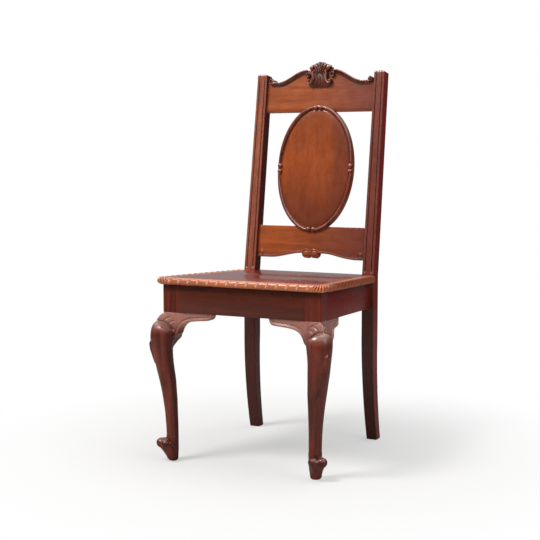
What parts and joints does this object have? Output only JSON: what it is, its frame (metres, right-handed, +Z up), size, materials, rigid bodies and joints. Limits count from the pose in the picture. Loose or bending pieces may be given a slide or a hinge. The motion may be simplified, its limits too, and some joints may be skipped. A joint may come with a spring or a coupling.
{
  "type": "high-back side chair",
  "caption": "High-back side chair of polished carved wood, with cabriole front legs, a solid seat with a gadrooned edge, reeded posts and an oval back panel.",
  "frame": {"origin": "centre of the bottom of the bounding box, on the floor below the middle of the seat", "axes": "+Z up, -Y to the front of the chair, +X to the right as seen from the front"},
  "size_m": [0.4912, 0.5528, 1.0328],
  "materials": {
    "frame_wood": "red-brown mahogany under glossy french polish, worn lighter on edges",
    "moulding_wood": "red-brown mahogany under glossy french polish, carved gadroons darker in the hollows",
    "seat_wood": "dark red mahogany boards, glossy",
    "back_wood": "golden red-brown mahogany with figured grain, satin to glossy",
    "inner_wood": "plain unpolished hardwood, oiled",
    "screw_steel": "plain dulled steel"
  },
  "bodies": {
    "root": {"front_leg_left": "frame_wood", "front_leg_right": "frame_wood", "knee_bracket_front_left": "frame_wood", "knee_bracket_front_right": "frame_wood", "knee_bracket_side_left": "frame_wood", "knee_bracket_side_right": "frame_wood", "rear_post_left": "frame_wood", "rear_post_right": "frame_wood", "front_rail": "frame_wood", "side_rail_left": "frame_wood", "side_rail_right": "frame_wood", "back_rail": "inner_wood", "corner_block_front_left": "inner_wood", "corner_block_front_right": "inner_wood", "corner_block_rear_left": "inner_wood", "corner_block_rear_right": "inner_wood", "corner_block_screws": "screw_steel", "seat_screws": "screw_steel", "seat_board_front": "seat_wood", "seat_board_rear": "seat_wood", "seat_moulding_front": "moulding_wood", "seat_moulding_left": "moulding_wood", "seat_moulding_right": "moulding_wood", "crest_rail": "back_wood", "crest_moulding_left": "back_wood", "crest_moulding_right": "back_wood", "crest_shell": "back_wood", "lower_back_rail": "back_wood", "oval_panel": "back_wood", "oval_scroll_top_left": "back_wood", "oval_scroll_top_right": "back_wood", "oval_scroll_bottom_left": "back_wood", "oval_scroll_bottom_right": "back_wood", "oval_panel_screws": "screw_steel"}
  },
  "joints": []
}
